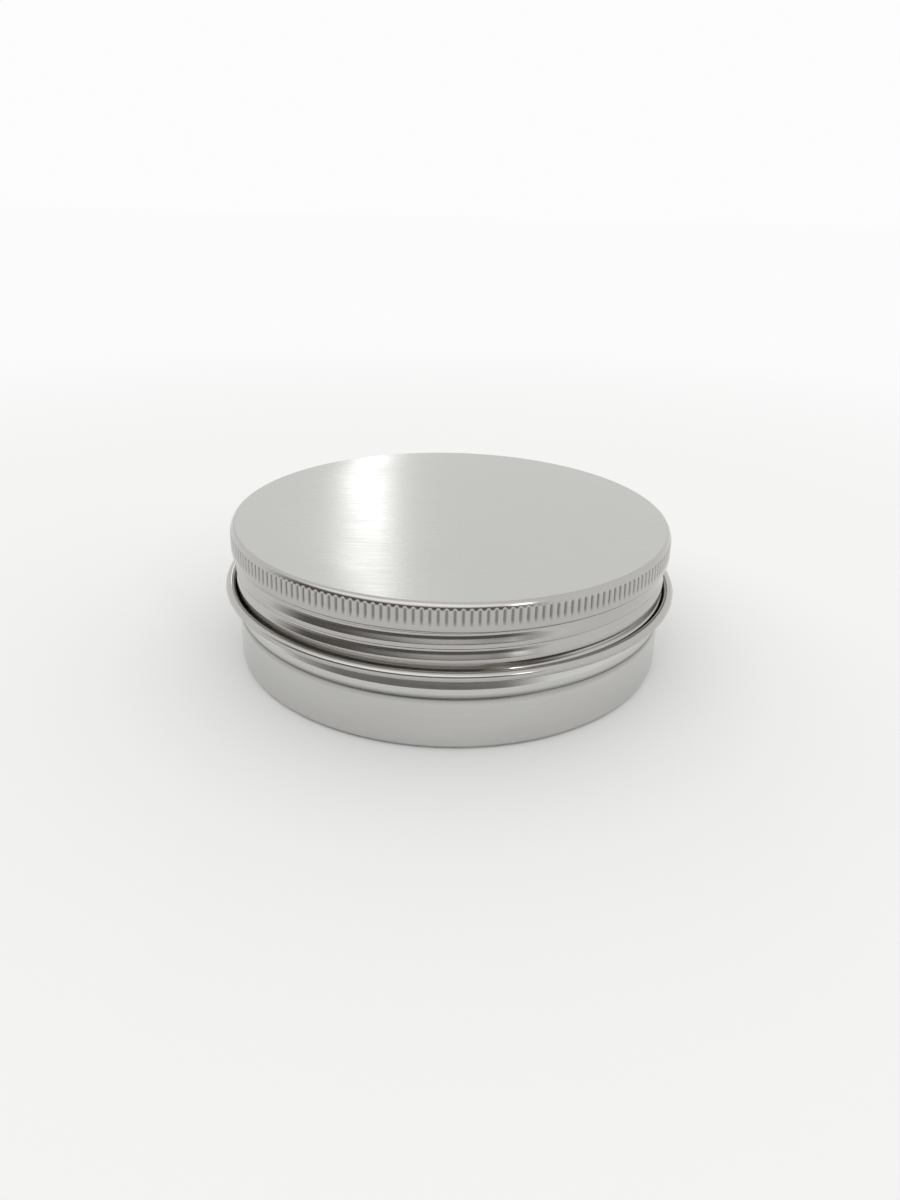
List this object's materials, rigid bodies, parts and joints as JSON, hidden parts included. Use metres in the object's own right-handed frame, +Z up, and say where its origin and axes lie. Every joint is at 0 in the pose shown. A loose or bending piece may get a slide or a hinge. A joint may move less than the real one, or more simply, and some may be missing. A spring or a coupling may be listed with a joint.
{
  "type": "screw-lid tin",
  "caption": "Round shallow aluminium storage tin with a knurled screw lid, rolled lid edge, threaded neck and a loose foam sealing liner.",
  "frame": {"origin": "on the tin's axis, at the surface that the tin stands on", "axes": "+Z up along the tin's axis; -Y towards the viewer of the picture, where the lid's thread groove starts"},
  "size_m": [0.084, 0.084, 0.0258],
  "materials": {
    "base_metal": "satin",
    "lid_metal": "brushed",
    "foam": "matte"
  },
  "bodies": {
    "base": {"base_shell": "base_metal"},
    "liner": {"lid_liner": "foam"},
    "lid": {"lid_shell": "lid_metal"}
  },
  "joints": [
    {"name": "lid_lift", "type": "slide", "parent": "base", "child": "liner", "axis": [0, 0, 1], "range_m": [0, 0.0143]},
    {"name": "lid_turn", "type": "hinge", "parent": "liner", "child": "lid", "pos_m": [0, 0, 0], "axis": [0, 0, 1], "range_deg": [0, 1980]}
  ],
  "couplings": [
    {"joint": "lid_lift", "follows": "lid_turn", "m_per_rad": 0.0004138}
  ]
}
